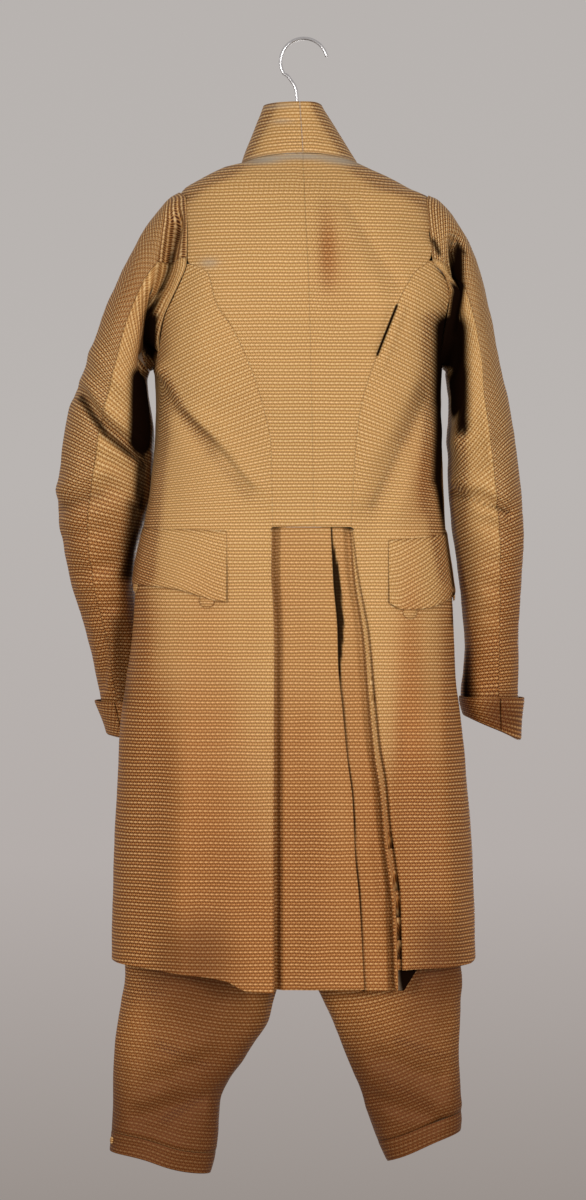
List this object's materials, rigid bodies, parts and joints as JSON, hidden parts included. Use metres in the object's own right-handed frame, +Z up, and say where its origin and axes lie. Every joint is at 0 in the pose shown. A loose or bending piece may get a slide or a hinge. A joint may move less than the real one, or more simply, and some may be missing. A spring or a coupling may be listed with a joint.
{
  "type": "silk suit on hook hanger",
  "caption": "Silk coat with standing collar, hip pleats, scalloped pocket flaps and turned-back cuffs over knee breeches, hanging on a plain hook hanger.",
  "frame": {"origin": "inner top of the hanger hook's crook, where it rests on what holds it", "axes": "+Z up, the coat's back towards -Y, the wearer's right towards +X"},
  "size_m": [0.5653, 0.2563, 1.362],
  "materials": {
    "coat_silk": "changeable woven silk",
    "skirt_silk": "changeable woven silk, browner",
    "hanger_steel": "polished",
    "hanger_wood": "plain"
  },
  "bodies": {
    "root": {"coat_back_left": "coat_silk", "coat_back_right": "coat_silk", "coat_front_left": "coat_silk", "coat_front_right": "coat_silk", "coat_back_skirt_left": "skirt_silk", "coat_back_skirt_right": "skirt_silk", "coat_top_sleeve_left": "coat_silk", "coat_top_sleeve_right": "coat_silk", "coat_under_sleeve_left": "coat_silk", "coat_under_sleeve_right": "coat_silk", "coat_cuff_left": "coat_silk", "coat_cuff_right": "coat_silk", "coat_collar_left": "coat_silk", "coat_collar_right": "coat_silk", "coat_pocket_flap_left": "coat_silk", "coat_pocket_flap_right": "coat_silk", "coat_flap_button_left_1": "skirt_silk", "coat_flap_button_left_2": "skirt_silk", "coat_flap_button_left_3": "skirt_silk", "coat_flap_button_right_1": "skirt_silk", "coat_flap_button_right_2": "skirt_silk", "coat_flap_button_right_3": "skirt_silk", "coat_front_button_1": "skirt_silk", "coat_front_button_2": "skirt_silk", "coat_front_button_3": "skirt_silk", "coat_front_button_4": "skirt_silk", "coat_front_button_5": "skirt_silk", "coat_front_button_6": "skirt_silk", "coat_front_button_7": "skirt_silk", "coat_front_button_8": "skirt_silk", "coat_front_button_9": "skirt_silk", "breeches_back_left": "skirt_silk", "breeches_back_right": "skirt_silk", "breeches_front_left": "skirt_silk", "breeches_front_right": "skirt_silk", "breeches_waistband_left": "skirt_silk", "breeches_waistband_right": "skirt_silk", "breeches_knee_band_left": "skirt_silk", "breeches_knee_band_right": "skirt_silk", "breeches_knee_button_left": "skirt_silk", "breeches_knee_button_right_1": "skirt_silk", "breeches_knee_button_right_2": "skirt_silk", "breeches_knee_button_right_3": "skirt_silk", "breeches_knee_button_right_4": "skirt_silk", "hanger_hook": "hanger_steel", "hanger_bar": "hanger_wood", "hanger_drop_wire": "hanger_steel", "hanger_clip_left": "hanger_steel", "hanger_clip_right": "hanger_steel"}
  },
  "joints": []
}
